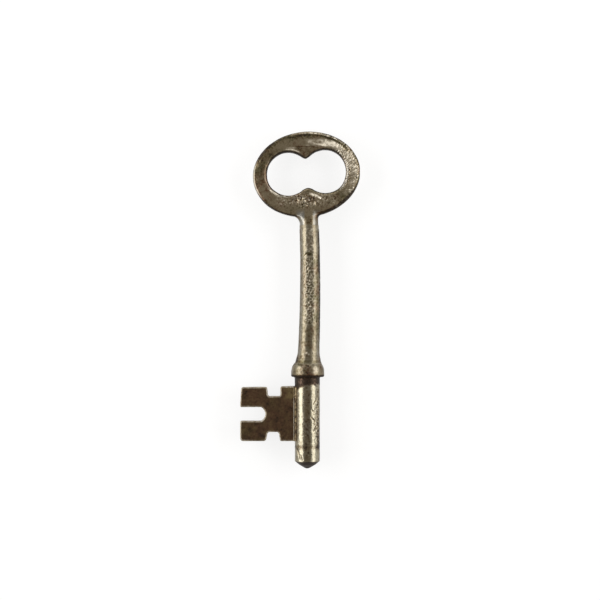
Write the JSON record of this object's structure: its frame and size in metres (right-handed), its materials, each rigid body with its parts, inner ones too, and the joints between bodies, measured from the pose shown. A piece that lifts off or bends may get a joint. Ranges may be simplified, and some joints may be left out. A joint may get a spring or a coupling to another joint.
{
  "type": "skeleton key",
  "caption": "Old bit key with a solid round pin, a collar, a slightly bent stem, a leaning oval bow with a double-lobed eye, and a flat notched bit.",
  "frame": {"origin": "on the pin's axis, where its straight wall ends and its pointed nose starts", "axes": "the key lies flat: +Y runs along the pin from the nose to the bow, the bit points along -X, and +Z comes out of the front face"},
  "size_m": [0.0284, 0.08, 0.0078],
  "materials": {
    "bow_metal": "worn, brown patina, pitted on the upper right",
    "shank_metal": "worn to a satin shine, brown in the hollows",
    "bit_metal": "dark brown patina with worn edges",
    "filler_metal": "dull golden braze, brown in the seams"
  },
  "bodies": {
    "root": {"bow": "bow_metal", "stem": "shank_metal", "collar": "shank_metal", "pin": "shank_metal", "bit": "bit_metal", "neck_braze": "filler_metal", "collar_braze": "filler_metal", "bit_braze": "filler_metal"}
  },
  "joints": []
}
